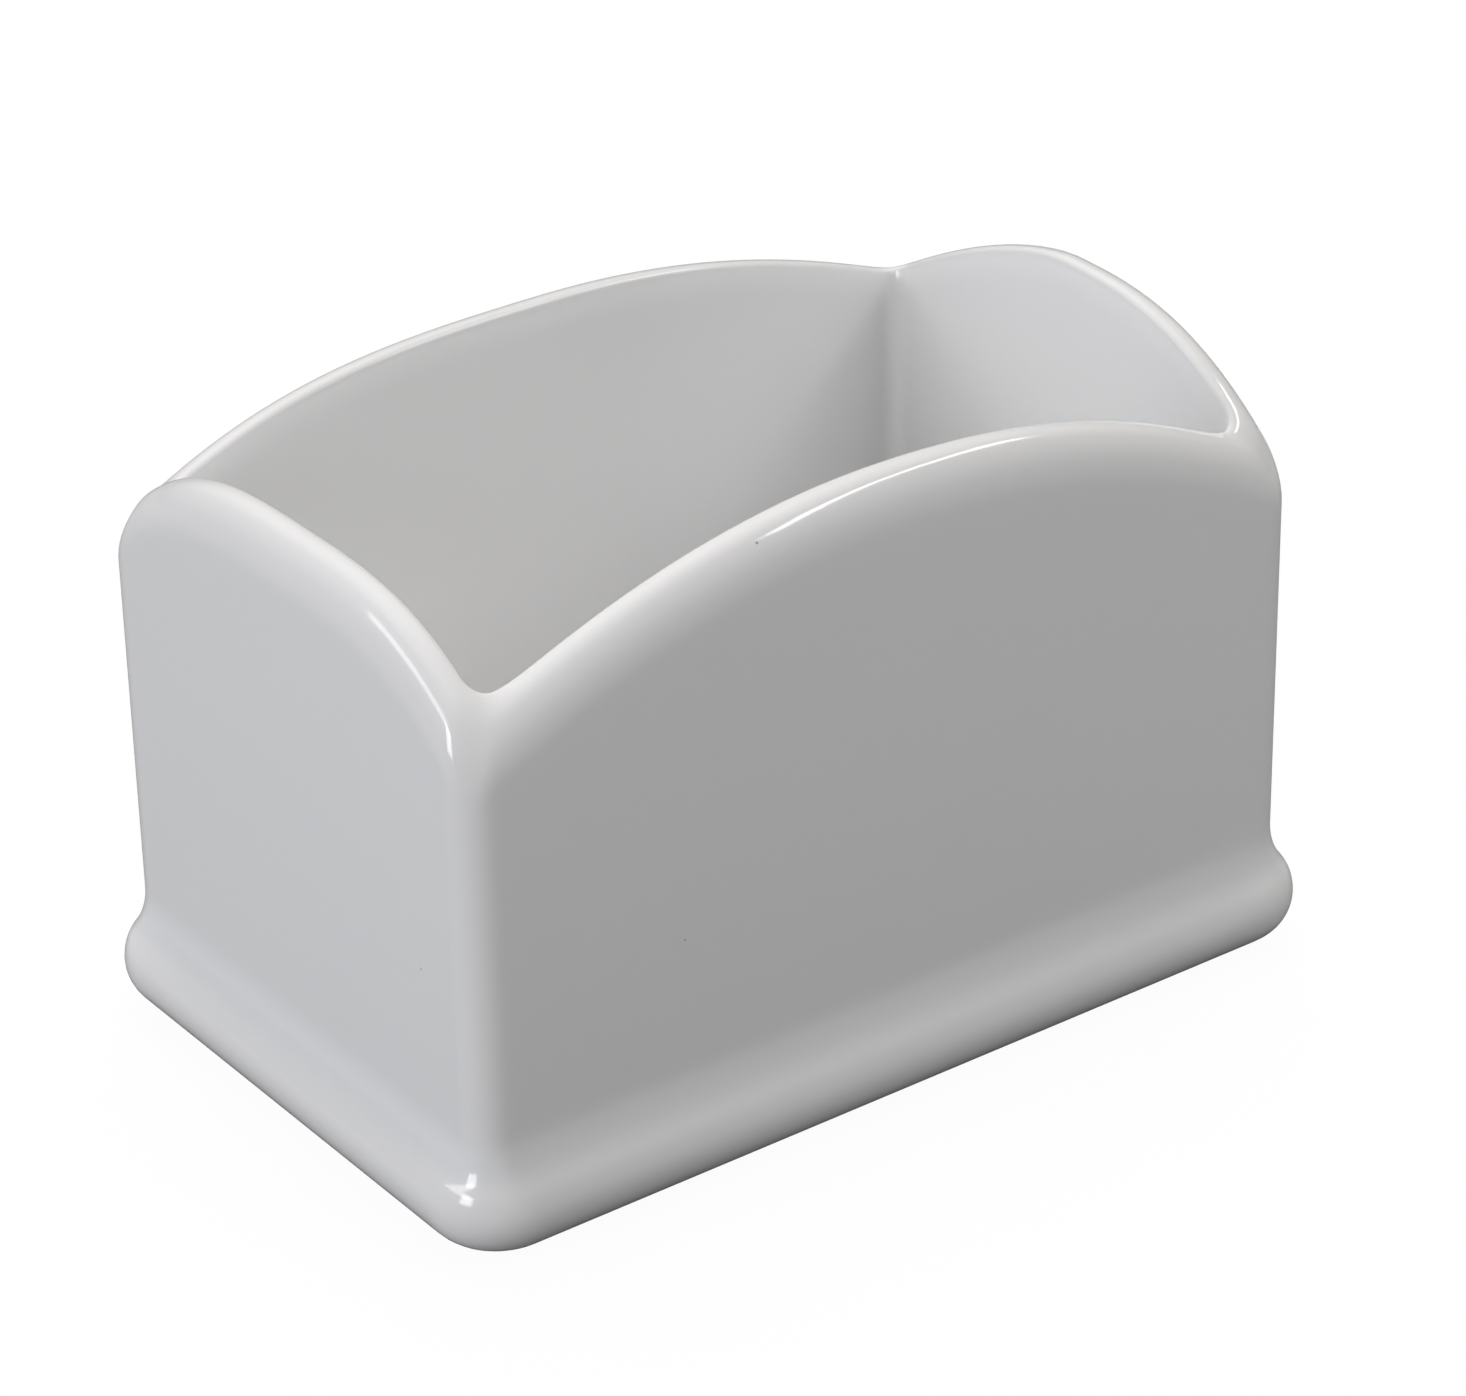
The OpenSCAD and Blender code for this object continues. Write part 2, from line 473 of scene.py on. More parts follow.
def new_material(name: str) -> tuple[bpy.types.Material, NodeDesk, bpy.types.Node]:
    """Make an empty material.

    Args:
        name: The material's name.

    Returns:
        The material, the desk with its nodes, and its output node.
    """
    material = bpy.data.materials.new(name)
    material.use_nodes = True
    material.node_tree.nodes.clear()
    desk = NodeDesk(material.node_tree)
    return material, desk, desk.add("ShaderNodeOutputMaterial")


@dataclass(frozen=True)
class Pinhole:
    """A tiny dark pinhole in the glaze.

    Attributes:
        place: Its centre on the glazed surface.
        radius: Its radius.
    """

    place: tuple[float, float, float]
    radius: float


@dataclass(frozen=True)
class GlossGlaze:
    """Clear gloss glaze over white porcelain, thinner and warmer on the crests and cooler where it pools.

    Attributes:
        white: Colour of the glazed porcelain on open faces.
        crest_white: Colour where the glaze has run thin.
        pool_white: Colour where the glaze lies thick.
        pinhole_grey: Colour at the bottom of a pinhole.
        roughness: Roughness of the glossy face.
        roughness_spread: How much the roughness wanders.
        refraction: Refractive index of the glaze.
        coat_weight: Share of the softer second gloss.
        coat_roughness: Its roughness.
        swell_strength: Strength of the soft unevenness.
        swell_height: Height of the soft unevenness.
        pinholes: The pinholes.
    """

    white: tuple[float, float, float, float] = (0.77, 0.77, 0.77, 1)
    crest_white: tuple[float, float, float, float] = (0.78, 0.775, 0.77, 1)
    pool_white: tuple[float, float, float, float] = (0.742, 0.748, 0.754, 1)
    pinhole_grey: tuple[float, float, float, float] = (0.34, 0.33, 0.31, 1)
    roughness: float = 0.09
    roughness_spread: float = 0.05
    refraction: float = 1.52
    coat_weight: float = 0.4
    coat_roughness: float = 0.13
    swell_strength: float = 0.35
    swell_height: float = 0.12 * MM
    pinholes: tuple[Pinhole, ...] = (
        Pinhole((-16.15 * MM, -31.01 * MM, 67.22 * MM), 0.2 * MM),
        Pinhole((-26.65 * MM, -32.5 * MM, 28.26 * MM), 0.16 * MM),
        Pinhole((-51.1 * MM, -23.44 * MM, 29.79 * MM), 0.16 * MM),
    )

    def make(self) -> bpy.types.Material:
        """Lay out the material's nodes.

        Returns:
            The material.
        """
        material, desk, output = new_material("gloss_glaze")
        pooling = desk.socket(desk.add("ShaderNodeAttribute", {"attribute_name": "pooling"}).outputs["Fac"])
        mottle = desk.noise(35, 3)
        thin = desk.add("ShaderNodeClamp", None, {"Value": pooling * -1}).outputs[0]
        thick = desk.add("ShaderNodeClamp", None, {"Value": pooling + (mottle - 0.5) * 0.5}).outputs[0]
        colour = desk.blend(thin, self.white, self.crest_white)
        colour = desk.blend(thick, colour, self.pool_white)
        pits = self._pits(desk)
        colour = desk.blend(pits, colour, self.pinhole_grey)
        swell = desk.noise(90, 1, (0.3, 0.1, 0.7)) * 0.9 + desk.noise(420, 2) * 0.1
        bump = desk.add(
            "ShaderNodeBump",
            None,
            {"Strength": self.swell_strength, "Distance": self.swell_height, "Height": swell - pits * 2},
        )
        wander = desk.noise(60, 4, (0.9, 0.2, 0.4)) * self.roughness_spread
        gloss = wander + (self.roughness - self.roughness_spread / 2)
        shader = desk.add(
            "ShaderNodeBsdfPrincipled",
            None,
            {
                "Base Color": colour,
                "Roughness": gloss + pits * 0.5,
                "Normal": bump.outputs[0],
                "IOR": self.refraction,
                "Coat Weight": self.coat_weight,
                "Coat Roughness": self.coat_roughness,
            },
        )
        desk.tree.links.new(shader.outputs[0], output.inputs["Surface"])
        return material

    def _pits(self, desk: NodeDesk) -> Socket:
        """Mask of the pinholes, 1 at their middles.

        Args:
            desk: The material's desk.

        Returns:
            The mask.
        """
        place = desk.add("ShaderNodeTexCoord").outputs["Object"]
        mask = desk.socket(desk.add("ShaderNodeValue").outputs[0]) * 0
        for pinhole in self.pinholes:
            gap = desk.add("ShaderNodeVectorMath", {"operation": "DISTANCE"}, {0: place, 1: pinhole.place})
            fall = desk.add(
                "ShaderNodeMapRange",
                {"interpolation_type": "SMOOTHSTEP"},
                {
                    "Value": gap.outputs["Value"],
                    "From Min": pinhole.radius * 0.4,
                    "From Max": pinhole.radius,
                    "To Min": 1.0,
                    "To Max": 0.0,
                },
            )
            mask = mask.at_least(desk.socket(fall.outputs[0]))
        return mask


@dataclass(frozen=True)
class BarePorcelain:
    """Fired porcelain without glaze: matt, faintly grained and a little soiled.

    Attributes:
        name: The material's name.
        white: Colour of the clean body.
        soil: Colour of the marks.
        roughness: Roughness of the bare face.
        roughness_spread: How much the roughness wanders.
        grain_strength: Strength of the grain.
        grain_height: Height of the grain.
    """

    name: str
    white: tuple[float, float, float, float] = (0.78, 0.77, 0.74, 1)
    soil: tuple[float, float, float, float] = (0.52, 0.50, 0.47, 1)
    roughness: float = 0.6
    roughness_spread: float = 0.2
    grain_strength: float = 0.5
    grain_height: float = 0.03 * MM

    def make(self) -> bpy.types.Material:
        """Lay out the material's nodes.

        Returns:
            The material.
        """
        material, desk, output = new_material(self.name)
        patches = desk.noise(120, 5)
        marks = desk.add(
            "ShaderNodeValToRGB", {"stops": [(0.52, 0.0), (0.72, 0.55)]}, {"Fac": patches}
        ).outputs[0]
        grain = desk.noise(3000, 3)
        colour = desk.blend(marks, self.white, self.soil)
        bump = desk.add(
            "ShaderNodeBump",
            None,
            {"Strength": self.grain_strength, "Distance": self.grain_height, "Height": grain},
        )
        shader = desk.add(
            "ShaderNodeBsdfPrincipled",
            None,
            {
                "Base Color": colour,
                "Roughness": grain * self.roughness_spread + (self.roughness - self.roughness_spread / 2),
                "Normal": bump.outputs[0],
            },
        )
        desk.tree.links.new(shader.outputs[0], output.inputs["Surface"])
        return material


@dataclass
class GlazeSkin:
    """The glaze over the whole body, from the bare foot round the rim and down to the floor.

    Attributes:
        form: The form that it covers.
        long_steps: Steps along a long wall's straight run.
        short_steps: Steps along an end wall's straight run.
        half_corner_steps: Steps from a corner's edge to its mitre.
        mitre_crowding: How much the stations crowd towards the mitre, 1 for evenly spaced.
        end_crowding: How much the stations of a straight run crowd towards its ends, 0 for evenly spaced.
        arc_steps: Steps round the underside, bulge, cove, each side of the rim and floor cove.
        wall_rings: Rings between the plinth and the rim, and again inside.
        underside_rings: Rings across the flat underside outside the foot.
        floor_rings: Rings across the flat floor.
        bulge_pooling: How thick the glaze lies on the bulge.
        cove_pooling: How thick it lies in the cove above the bulge.
        crest_pooling: How thick it lies on the rim's crest.
        sharp_angle: Angle in radians past which an edge stays sharp.
        lip_angle: Angle in radians past which the edge of the skin is rounded.
        lip_share: Width of that rounding as a share of the glaze's thickness.
        lip_steps: Steps round it.
    """

    form: HolderForm
    long_steps: int = 56
    short_steps: int = 40
    half_corner_steps: int = 8
    mitre_crowding: float = 1.5
    end_crowding: float = 0.7
    arc_steps: tuple = (12, 8, 10, (9, 9), (7, 9), 10)
    wall_rings: int = 7
    underside_rings: int = 3
    floor_rings: int = 5
    bulge_pooling: float = -0.3
    cove_pooling: float = 0.7
    crest_pooling: float = -0.8
    sharp_angle: float = math.radians(50)
    lip_angle: float = math.radians(60)
    lip_share: float = 0.4
    lip_steps: int = 3

    @cached_property
    def stations(self) -> list[tuple[Wall, float, float]]:
        """The outline's stations: wall, share of its straight run, and turn round the corner.

        Returns:
            The stations in order round the holder, from the front wall's left mitre.
        """
        quarter = math.pi / 4
        found = []
        for wall in Wall:
            steps = self.long_steps if wall.is_long else self.short_steps
            turns = [
                quarter * (1 - (i / self.half_corner_steps) ** self.mitre_crowding)
                for i in range(self.half_corner_steps)
            ]
            found += [(wall, -1.0, -turn) for turn in turns]
            found += [(wall, self._crowded(2 * i / steps - 1), 0.0) for i in range(steps + 1)]
            found += [(wall, 1.0, turn) for turn in reversed(turns[1:])]
        return found

    def _crowded(self, share: float) -> float:
        """Draw evenly spaced shares from -1 to 1 towards both ends."""
        return share * (1 - self.end_crowding) + math.sin(math.pi / 2 * share) * self.end_crowding

    def plinth_rings(self) -> list[Ring]:
        """Lay out the flat underside, its rounding, the bulge and the cove.

        Returns:
            Their rings, from the bare foot outwards and up.
        """
        form = self.form
        flat = form.plinth_reach - form.underside_radius
        start = form.foot_offset + form.wiped_band
        bulge_level = form.underside_level + form.underside_radius
        radii = form.bulge_radius + form.cove_radius
        slope = math.acos((radii - form.plinth_reach) / radii)
        top = bulge_level + radii * math.sin(slope)
        under, bulge, cove = self.arc_steps[:3]
        rings = [
            Ring(start + (flat - start) * i / self.underside_rings, form.underside_level, 0, is_low=True)
            for i in range(self.underside_rings)
        ]
        for i in range(under + 1):
            a = math.pi / 2 * i / under
            rings.append(
                Ring(
                    flat + form.underside_radius * math.sin(a),
                    form.underside_level + form.underside_radius * (1 - math.cos(a)),
                    self.bulge_pooling * math.sin(a),
                    is_low=True,
                )
            )
        for i in range(1, bulge + 1):
            a = slope * i / bulge
            rings.append(
                Ring(
                    form.plinth_reach - form.bulge_radius * (1 - math.cos(a)),
                    bulge_level + form.bulge_radius * math.sin(a),
                    self.bulge_pooling * math.cos(math.pi / 2 * i / bulge),
                )
            )
        for i in range(1, cove + 1):
            a = slope * (1 - i / cove)
            rings.append(
                Ring(
                    form.cove_radius * (1 - math.cos(a)),
                    top - form.cove_radius * math.sin(a),
                    self.cove_pooling * math.sin(math.pi * i / cove),
                )
            )
        return rings

    def rim_rings(self) -> list[Ring]:
        """Lay out the rim's outer side and inner side.

        Returns:
            Their rings, with levels that are drops below the crest.
        """
        form = self.form
        outer = form.outer_side.profile(self.arc_steps[3])
        inner = form.inner_side.profile(self.arc_steps[4])
        places = [(-in_by, drop, turn) for in_by, drop, turn in outer]
        places += [(in_by - form.wall_thickness, drop, turn) for in_by, drop, turn in reversed(inner)]
        return [
            Ring(offset, drop, self.crest_pooling * math.sin(turn), follows_rim=True)
            for offset, drop, turn in places
        ]

    def well_rings(self) -> list[Ring]:
        """Lay out the floor's cove and the flat floor inside it.

        Returns:
            Their rings, from the walls inwards.
        """
        form = self.form
        steps = self.arc_steps[5]
        middle = -form.wall_thickness - form.floor_cove
        rings = []
        for i in range(steps + 1):
            a = math.pi / 2 * i / steps
            rings.append(
                Ring(
                    middle + form.floor_cove * math.cos(a),
                    form.floor_level + form.floor_cove * (1 - math.sin(a)),
                    math.sin(a),
                )
            )
        inmost = form.inner_corner_radius * 1.5 - form.half_width
        for i in range(1, self.floor_rings + 1):
            share = i / self.floor_rings
            rings.append(Ring(middle + (inmost - middle) * share, form.floor_level, 1 - share))
        return rings

    def place(self, ring: Ring) -> list[Vector]:
        """Work out a ring's points.

        Args:
            ring: The ring.

        Returns:
            One point for each station.
        """
        points = []
        form = self.form
        radius = form.low_radius_at(ring.offset) if ring.is_low else form.radius_at(ring.offset)
        for wall, share, turn in self.stations:
            spot = form.outline_point(wall, share, turn, ring.offset, radius)
            level = form.crest(spot) - ring.level if ring.follows_rim else ring.level
            points.append(Vector((spot.x, spot.y, level)))
        return points

    def all_rings(self) -> list[tuple[list[Vector], float]]:
        """Place every ring, from the edge of the bare foot to the middle of the floor.

        Returns:
            Each ring's points and pooling.
        """
        plinth, rim, well = self.plinth_rings(), self.rim_rings(), self.well_rings()
        rings = [(self.place(ring), ring.pooling) for ring in plinth]
        rings += self._between(rings[-1], (self.place(rim[0]), 0.0))
        rings += [(self.place(ring), ring.pooling) for ring in rim]
        rings += self._between(rings[-1], (self.place(well[0]), 0.0))
        rings += [(self.place(ring), ring.pooling) for ring in well]
        return rings

    def _between(
        self, first: tuple[list[Vector], float], last: tuple[list[Vector], float]
    ) -> list[tuple[list[Vector], float]]:
        """Share out the upright face between two rings, closer together near its ends.

        Args:
            first: Points and pooling of the ring that the face starts from.
            last: Points and pooling of the ring that it ends at.

        Returns:
            The rings between them.
        """
        rings = []
        for i in range(1, self.wall_rings + 1):
            share = (1 - math.cos(math.pi * i / (self.wall_rings + 1))) / 2
            points = [a.lerp(b, share) for a, b in zip(first[0], last[0])]
            rings.append((points, first[1] * (1 - share) ** 4))
        return rings

    def model(self) -> bpy.types.Object:
        """Model the skin: a box with rounded corners, drawn up ring by ring, then given its thickness.

        Returns:
            The finished skin.
        """
        rings = self.all_rings()
        piece, order = self._rounded_band(rings[0][0], rings[1][0])
        bpy.ops.object.mode_set(mode="EDIT")
        bpy.context.tool_settings.mesh_select_mode = (False, True, False)
        laid = [order[0], order[1]]
        for points, _ in rings[2:]:
            laid.append(self._draw_up(piece, laid[-1], points))
        self._close_floor(piece, laid[-1])
        bpy.ops.object.mode_set(mode="OBJECT")
        pooling = piece.data.attributes.new("pooling", "FLOAT", "POINT")
        for indices, (_, amount) in zip(laid, rings):
            for index in indices:
                pooling.data[index].value = amount
        settle_normals(piece, self.sharp_angle)
        apply_modifier(
            piece, "SOLIDIFY", thickness=self.form.glaze_thickness, offset=-1, use_even_offset=True
        )
        apply_modifier(
            piece,
            "BEVEL",
            width=self.form.glaze_thickness * self.lip_share,
            segments=self.lip_steps,
            limit_method="ANGLE",
            angle_limit=self.lip_angle,
        )
        bpy.ops.object.shade_smooth_by_angle(angle=self.sharp_angle)
        return piece

    def _rounded_band(
        self, lower: list[Vector], upper: list[Vector]
    ) -> tuple[bpy.types.Object, list[list[int]]]:
        """Make the first two rings from a box: bevel its upright edges and cut its sides at the stations.

        Args:
            lower: Points of the lower ring.
            upper: Points of the upper ring.

        Returns:
            The piece, and the vertex numbers of its two rings in the order of the stations.
        """
        reach = Vector((max(p.x for p in lower), max(p.y for p in lower), 0))
        offset = reach.x - self.form.half_length
        radius = self.form.low_radius_at(offset)
        deselect_all()
        bpy.ops.mesh.primitive_cube_add(size=1, location=(0, 0, lower[0].z))
        piece = bpy.context.object
        piece.scale = (2 * reach.x, 2 * reach.y, self.form.glaze_thickness)
        bpy.ops.object.transform_apply(location=True, rotation=True, scale=True)
        bpy.ops.object.mode_set(mode="EDIT")
        bpy.context.tool_settings.mesh_select_mode = (False, False, True)
        mesh = bmesh.from_edit_mesh(piece.data)
        for face in mesh.faces:
            face.select_set(abs(face.normal.z) > 0.5)
        bmesh.update_edit_mesh(piece.data)
        bpy.ops.mesh.delete(type="ONLY_FACE")
        bpy.context.tool_settings.mesh_select_mode = (False, True, False)
        mesh = bmesh.from_edit_mesh(piece.data)
        for edge in mesh.edges:
            edge.select_set(abs(edge.verts[0].co.z - edge.verts[1].co.z) > self.form.glaze_thickness / 2)
        bmesh.update_edit_mesh(piece.data)
        bpy.ops.mesh.bevel(
            offset_type="OFFSET", offset=radius, segments=2 * self.half_corner_steps, profile=0.5
        )
        for wall, normal in ((Wall.FRONT, (1, 0, 0)), (Wall.RIGHT, (0, 1, 0))):
            for station_wall, share, turn in self.stations:
                if station_wall is wall and not turn and abs(share) < 1:
                    spot = self.form.outline_point(wall, share, 0, offset, radius)
                    bpy.ops.mesh.select_all(action="SELECT")
                    bpy.ops.mesh.bisect(plane_co=(spot.x, spot.y, 0), plane_no=normal, threshold=1e-6)
        bpy.ops.object.mode_set(mode="OBJECT")
        return piece, [
            self._lay(piece, lower, above=False),
            self._lay(piece, upper, above=True),
        ]

    def _lay(self, piece: bpy.types.Object, points: list[Vector], above: bool) -> list[int]:
        """Order one ring of the band by its turn round the middle and move it to its points.

        Args:
            piece: The piece, in object mode.
            points: The ring's points.
            above: Whether it is the band's upper ring.

        Returns:
            The ring's vertex numbers in the order of the stations.
        """
        middle = sum(v.co.z for v in piece.data.vertices) / len(piece.data.vertices)
        ring = [v for v in piece.data.vertices if (v.co.z > middle) == above]
        ring.sort(key=lambda v: math.atan2(v.co.y, v.co.x))
        mitre = min(ring, key=lambda v: (v.co - points[0]).to_2d().length)
        first = ring.index(mitre)
        ring = ring[first:] + ring[:first]
        if len(ring) != len(points):
            raise ValueError(f"the band has {len(ring)} stations and the outline {len(points)}")
        for vertex, point in zip(ring, points):
            vertex.co = point
        return [v.index for v in ring]

    def _draw_up(self, piece: bpy.types.Object, last: list[int], points: list[Vector]) -> list[int]:
        """Extrude the last ring and move the new one to its points.

        Args:
            piece: The piece, in edit mode.
            last: Vertex numbers of the ring that is extruded.
            points: The new ring's points.

        Returns:
            The new ring's vertex numbers.
        """
        mesh = bmesh.from_edit_mesh(piece.data)
        mesh.verts.ensure_lookup_table()
        station = {index: number for number, index in enumerate(last)}
        for edge in mesh.edges:
            edge.select_set(all(v.index in station for v in edge.verts))
        bmesh.update_edit_mesh(piece.data)
        bpy.ops.mesh.extrude_edges_move()
        mesh = bmesh.from_edit_mesh(piece.data)
        mesh.verts.index_update()
        mesh.verts.ensure_lookup_table()
        ring = [0] * len(last)
        for vertex in (v for v in mesh.verts if v.select):
            number = next(
                station[other.index]
                for other in (e.other_vert(vertex) for e in vertex.link_edges)
                if other.index in station
            )
            vertex.co = points[number]
            ring[number] = vertex.index
        bmesh.update_edit_mesh(piece.data)
        return ring

    def _close_floor(self, piece: bpy.types.Object, last: list[int]) -> None:
        """Close the flat floor inside the last ring.

        Args:
            piece: The piece, in edit mode.
            last: Vertex numbers of the last ring.
        """
        mesh = bmesh.from_edit_mesh(piece.data)
        inside = set(last)
        for edge in mesh.edges:
            edge.select_set(all(v.index in inside for v in edge.verts))
        bmesh.update_edit_mesh(piece.data)
        bpy.ops.mesh.edge_face_add()

    def finish(self, material: bpy.types.Material) -> bpy.types.Object:
        """Model and dress the skin.

        Args:
            material: The glaze.

        Returns:
            The skin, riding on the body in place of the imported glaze.
        """
        piece = self.model()
        piece.name = piece.data.name = "glaze_skin"
        piece.data.materials.append(material)
        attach(piece, BODY)
        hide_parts("glaze_coat")
        return piece


@dataclass
class RecessGlaze:
    """The glazed flat of the underside, inside the foot ring.

    Attributes:
        form: The form that it belongs to.
        corner_steps: Steps round a corner.
        edge_steps: Steps round its lower edge.
        edge_share: Width of the lower edge's rounding as a share of the glaze's thickness.
        sharp_angle: Angle in radians past which an edge stays sharp.
    """

    form: HolderForm
    corner_steps: int = 12
    edge_steps: int = 4
    edge_share: float = 0.8
    sharp_angle: float = math.radians(40)

    def finish(self, material: bpy.types.Material) -> bpy.types.Object:
        """Model and dress the plate: a box with rounded corners and a soft lower edge.

        Args:
            material: The glaze.

        Returns:
            The plate, riding on the body.
        """
        form = self.form
        offset = form.foot_offset - form.foot_width - form.wiped_band
        thick = form.glaze_thickness
        deselect_all()
        bpy.ops.mesh.primitive_cube_add(size=1, location=(0, 0, form.underside_level + thick / 2))
        piece = bpy.context.object
        piece.name = piece.data.name = "recess_glaze"
        piece.scale = (2 * (form.half_length + offset), 2 * (form.half_width + offset), thick)
        bpy.ops.object.transform_apply(location=True, rotation=True, scale=True)
        bpy.ops.object.mode_set(mode="EDIT")
        bpy.context.tool_settings.mesh_select_mode = (False, True, False)
        mesh = bmesh.from_edit_mesh(piece.data)
        for edge in mesh.edges:
            edge.select_set(abs(edge.verts[0].co.z - edge.verts[1].co.z) > thick / 2)
        bmesh.update_edit_mesh(piece.data)
        bpy.ops.mesh.bevel(
            offset_type="OFFSET", offset=form.low_radius_at(offset), segments=self.corner_steps, profile=0.5
        )
        mesh = bmesh.from_edit_mesh(piece.data)
        for edge in mesh.edges:
            edge.select_set(all(v.co.z < form.underside_level + thick / 2 for v in edge.verts))
        bmesh.update_edit_mesh(piece.data)
        bpy.ops.mesh.bevel(
            offset_type="OFFSET", offset=thick * self.edge_share, segments=self.edge_steps, profile=0.5
        )
        bpy.ops.object.mode_set(mode="OBJECT")
        settle_normals(piece, self.sharp_angle)
        piece.data.materials.append(material)
        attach(piece, BODY)
        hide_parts("glaze_coat")
        return piece


@dataclass(frozen=True)
class FiredBody:
    """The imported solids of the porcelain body, which only need their finish.

    Attributes:
        porcelain: Finish of the walls and the base.
        foot: Finish of the foot ring.
    """

    porcelain: bpy.types.Material
    foot: bpy.types.Material

    def finish(self) -> None:
        """Give each solid its material."""
        for name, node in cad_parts.items():
            node.data.materials.clear()
            node.data.materials.append(self.foot if name == "foot_ring" else self.porcelain)
            log.info("dressed %s", name)


@dataclass(frozen=True)
class Softbox:
    """One studio lamp, aimed at the middle of the holder.

    Attributes:
        name: The lamp's name.
        azimuth: Its direction in degrees: 0 is the front, 90 the right.
        elevation: Its height above the horizon in degrees.
        watts: Its power.
        distance: Its distance in metres.
        width: Its width in metres.
        height: Its height in metres.
        mirrored: Whether it shows in the gloss.
        tint: Its colour.
    """

    name: str
    azimuth: float
    elevation: float
    watts: float
    distance: float = 1.5
    width: float = 1.0
    height: float = 0.8
    mirrored: bool = False
    tint: tuple[float, float, float] = (1, 1, 1)

    def hang(self, aim: Vector) -> None:
        """Hang the lamp.

        Args:
            aim: The point that it faces.
        """
        lamp = bpy.data.lights.new(self.name, "AREA")
        lamp.shape = "RECTANGLE"
        lamp.size, lamp.size_y = self.width, self.height
        lamp.energy = self.watts
        lamp.color = self.tint
        hung = bpy.data.objects.new(self.name, lamp)
        hung.visible_glossy = self.mirrored
        bpy.context.scene.collection.objects.link(hung)
        a, e = math.radians(self.azimuth), math.radians(self.elevation)
        way = Vector((math.sin(a) * math.cos(e), -math.cos(a) * math.cos(e), math.sin(e)))
        hung.location = aim + way * self.distance
        hung.rotation_euler = way.to_track_quat("Z", "Y").to_euler()


@dataclass(frozen=True)
class PhotoCamera:
    """The camera at the photograph's viewing angle.

    Attributes:
        azimuth: Direction that it stands in, in degrees, negative towards the left of the front.
        elevation: Its height above the horizon in degrees.
        roll: Its roll in degrees.
        distance: Its distance from the aimed plane.
        aside: How far it is shifted to its right.
        upward: How far it is shifted up.
        aim_level: Height of the aimed point.
        focal_pixels: Focal length in pixels of the photograph.
        frame_pixels: Width of the photograph in pixels.
        sensor_width: Width of the sensor in millimetres.
        nearest: Nearest distance that the camera shows.
    """

    azimuth: float = -35.899
    elevation: float = 28.11
    roll: float = -1.111
    distance: float = 540.38 * MM
    aside: float = 2.433 * MM
    upward: float = 6.428 * MM
    aim_level: float = 25 * MM
    focal_pixels: float = 5197.8
    frame_pixels: float = 1466
    sensor_width: float = 36
    nearest: float = 10 * MM

    def stand(self) -> None:
        """Make the camera and use it."""
        a, e, r = (math.radians(v) for v in (self.azimuth, self.elevation, self.roll))
        back = Vector((math.sin(a) * math.cos(e), -math.cos(a) * math.cos(e), math.sin(e)))
        level_right = (-back).cross(Vector((0, 0, 1))).normalized()
        level_up = level_right.cross(-back)
        right = level_right * math.cos(r) + level_up * math.sin(r)
        up = level_up * math.cos(r) - level_right * math.sin(r)
        lens = bpy.data.cameras.new("photo_camera")
        lens.sensor_width = self.sensor_width
        lens.lens = self.sensor_width * self.focal_pixels / self.frame_pixels
        lens.clip_start = self.nearest
        camera = bpy.data.objects.new("photo_camera", lens)
        bpy.context.scene.collection.objects.link(camera)
        turned = Matrix((right, up, back)).transposed().to_4x4()
        place = Vector((0, 0, self.aim_level))
        place += back * self.distance + right * self.aside + up * self.upward
        camera.matrix_world = Matrix.Translation(place) @ turned
        bpy.context.scene.camera = camera


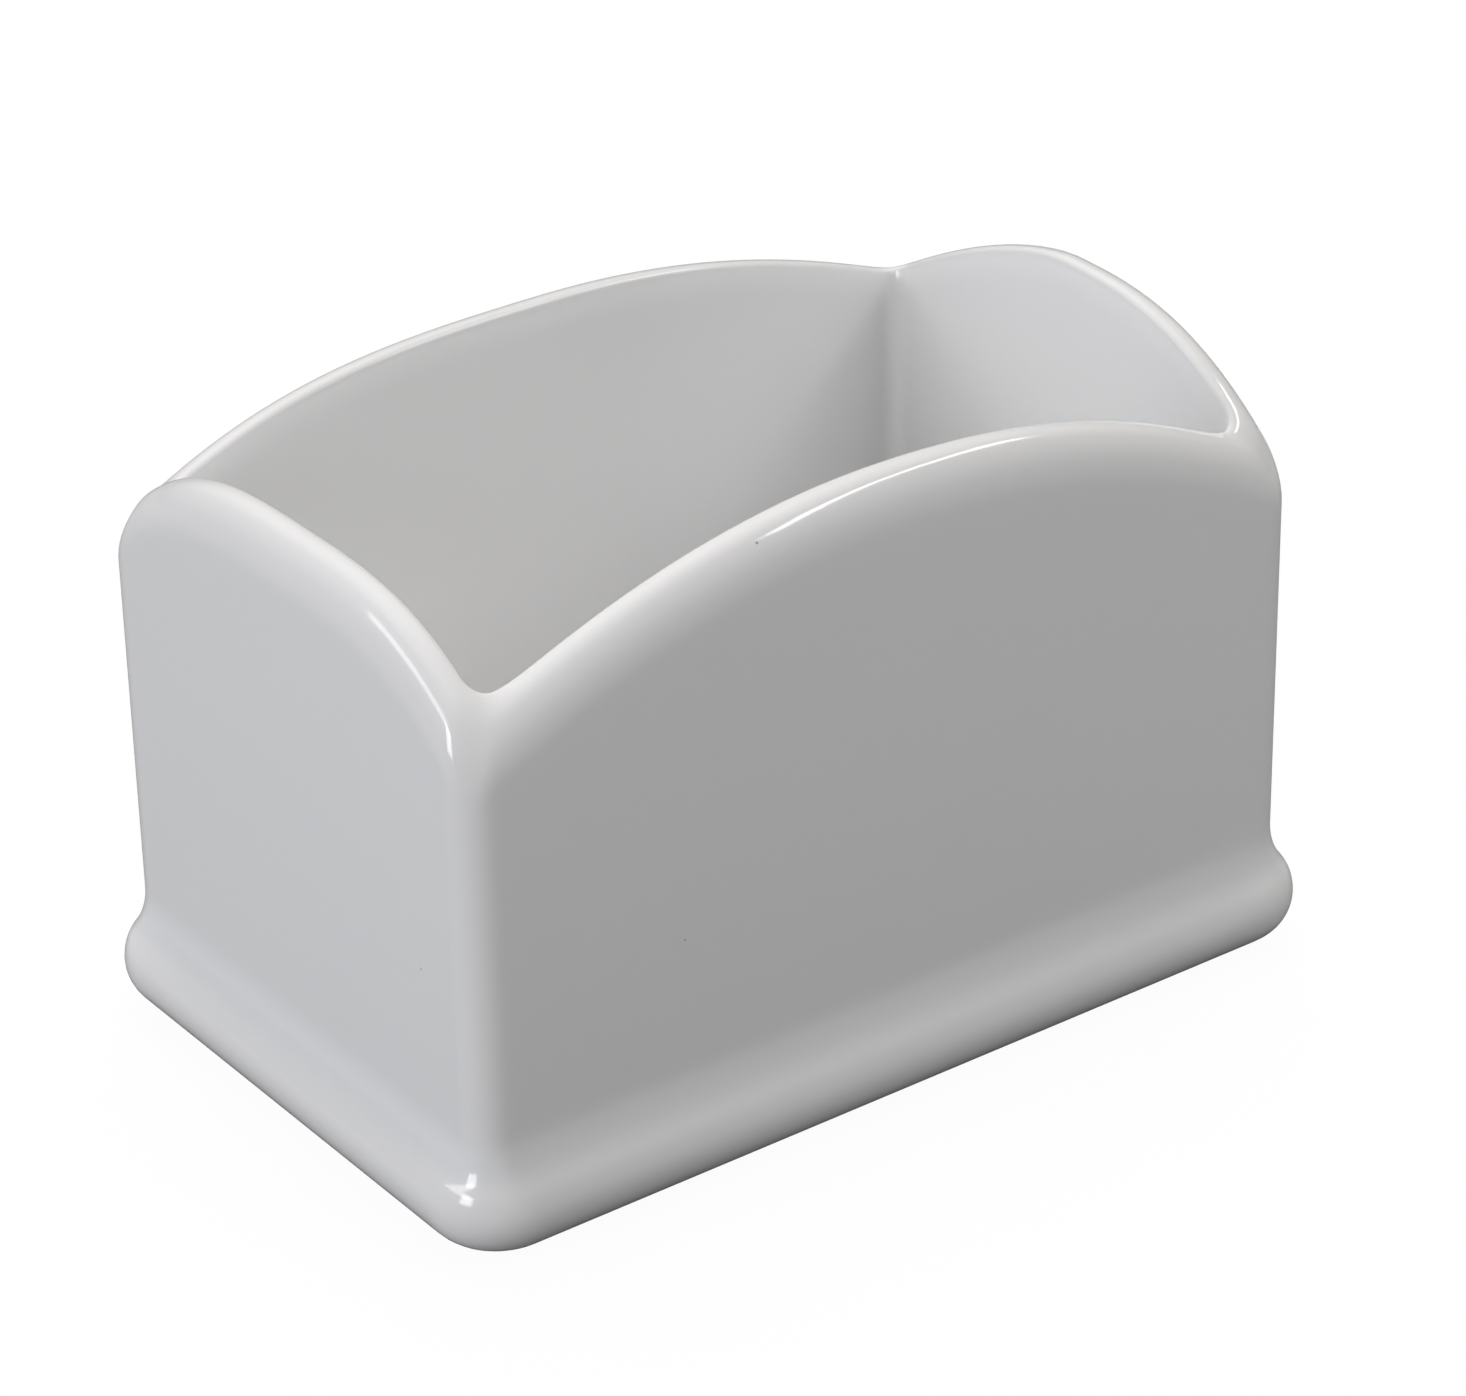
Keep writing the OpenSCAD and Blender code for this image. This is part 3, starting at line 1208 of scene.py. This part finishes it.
@dataclass
class Studio:
    """The pale floor, the softboxes, the dark room that is seen white, and the camera.

    Attributes:
        floor_radius: Radius of the round floor.
        floor_grey: Colour of the floor as light from it reaches the holder.
        white: Colour of the floor and the room as the camera sees them.
        floor_glow: Share of the seen floor that shows plain white; the rest shows the shadow.
        softboxes: The lamps.
        camera: The camera.
    """

    floor_radius: float = 4.0
    floor_grey: tuple[float, float, float, float] = (0.22, 0.22, 0.22, 1)
    white: tuple[float, float, float, float] = (1, 1, 1, 1)
    floor_glow: float = 0.96
    softboxes: tuple[Softbox, ...] = (
        Softbox("left_key", -90, 15, 8.5, tint=(0.965, 0.99, 1.045)),
        Softbox("left_back", -120, 15, 1.1, tint=(0.95, 0.9, 1.15)),
        Softbox("back", 180, 38, 6.2, tint=(1.01, 1.05, 0.95)),
        Softbox("back_top", 150, 64, 8.4, tint=(1.03, 0.95, 1.0)),
        Softbox("right_top", 120, 64, 5.4, tint=(1.02, 1.05, 0.95)),
        Softbox("front", 0, 45, 4.3, tint=(1.04, 0.98, 0.98)),
        Softbox("front_right", 30, 38, 4.1, tint=(0.97, 1.01, 1.02)),
        Softbox("left_strip", -102, 27, 2.3, width=1.3, height=0.16, mirrored=True),
        Softbox("right_strip", 55, 47, 1.9, distance=1.1, width=0.8, height=0.08, mirrored=True),
        Softbox("corner_spot", -80, 18, 3.6, width=0.45, height=0.45, mirrored=True),
    )
    camera: PhotoCamera = PhotoCamera()

    def build(self) -> None:
        """Set up the studio."""
        self._lay_floor()
        self._paint_room()
        for softbox in self.softboxes:
            softbox.hang(Vector((0, 0, self.camera.aim_level)))
        self.camera.stand()
        bpy.context.scene.view_settings.view_transform = "Standard"

    def _seen_apart(
        self, desk: NodeDesk, lighting: bpy.types.Node, seen: bpy.types.Node
    ) -> bpy.types.NodeSocket:
        """Show the camera one shader and light the holder by another.

        Args:
            desk: The desk of the material or the world.
            lighting: The shader that lights the holder.
            seen: The shader that the camera sees.

        Returns:
            The mixed shader's output.
        """
        from_camera = desk.add("ShaderNodeLightPath").outputs["Is Camera Ray"]
        mixed = desk.add(
            "ShaderNodeMixShader", None, {0: from_camera, 1: lighting.outputs[0], 2: seen.outputs[0]}
        )
        return mixed.outputs[0]

    def _lay_floor(self) -> None:
        """Lay the floor, which shows white with the holder's soft shadow."""
        deselect_all()
        bpy.ops.mesh.primitive_circle_add(vertices=96, radius=self.floor_radius, fill_type="NGON")
        floor = bpy.context.object
        floor.name = "floor"
        material, desk, output = new_material("floor_white")
        lighting = desk.add("ShaderNodeBsdfDiffuse", None, {"Color": self.floor_grey})
        shaded = desk.add("ShaderNodeBsdfDiffuse", None, {"Color": self.white})
        plain = desk.add("ShaderNodeEmission", None, {"Color": self.white, "Strength": 1.0})
        seen = desk.add(
            "ShaderNodeMixShader", None, {0: self.floor_glow, 1: shaded.outputs[0], 2: plain.outputs[0]}
        )
        desk.tree.links.new(self._seen_apart(desk, lighting, seen), output.inputs["Surface"])
        floor.data.materials.append(material)

    def _paint_room(self) -> None:
        """Leave the room dark, so that only the softboxes light the holder, and show it white."""
        world = bpy.data.worlds.new("room")
        world.use_nodes = True
        world.node_tree.nodes.clear()
        bpy.context.scene.world = world
        desk = NodeDesk(world.node_tree)
        dark = desk.add("ShaderNodeBackground", None, {"Color": self.white, "Strength": 0.0})
        seen = desk.add("ShaderNodeBackground", None, {"Color": self.white, "Strength": 1.0})
        output = desk.add("ShaderNodeOutputWorld")
        desk.tree.links.new(self._seen_apart(desk, dark, seen), output.inputs["Surface"])


def main() -> None:
    """Build the holder and the studio."""
    logging.basicConfig(level=logging.INFO, format="%(name)s: %(message)s")
    form = HolderForm()
    glaze = GlossGlaze().make()
    skin = GlazeSkin(form).finish(glaze)
    log.info("modelled %s with %d faces", skin.name, len(skin.data.polygons))
    recess = RecessGlaze(form).finish(glaze)
    log.info("modelled %s with %d faces", recess.name, len(recess.data.polygons))
    porcelain = BarePorcelain(Slot.PORCELAIN.value).make()
    foot = BarePorcelain(Slot.BARE_FOOT.value, soil=(0.42, 0.41, 0.40, 1), roughness=0.65).make()
    FiredBody(porcelain, foot).finish()
    Studio().build()


if __name__ == "__main__":
    main()
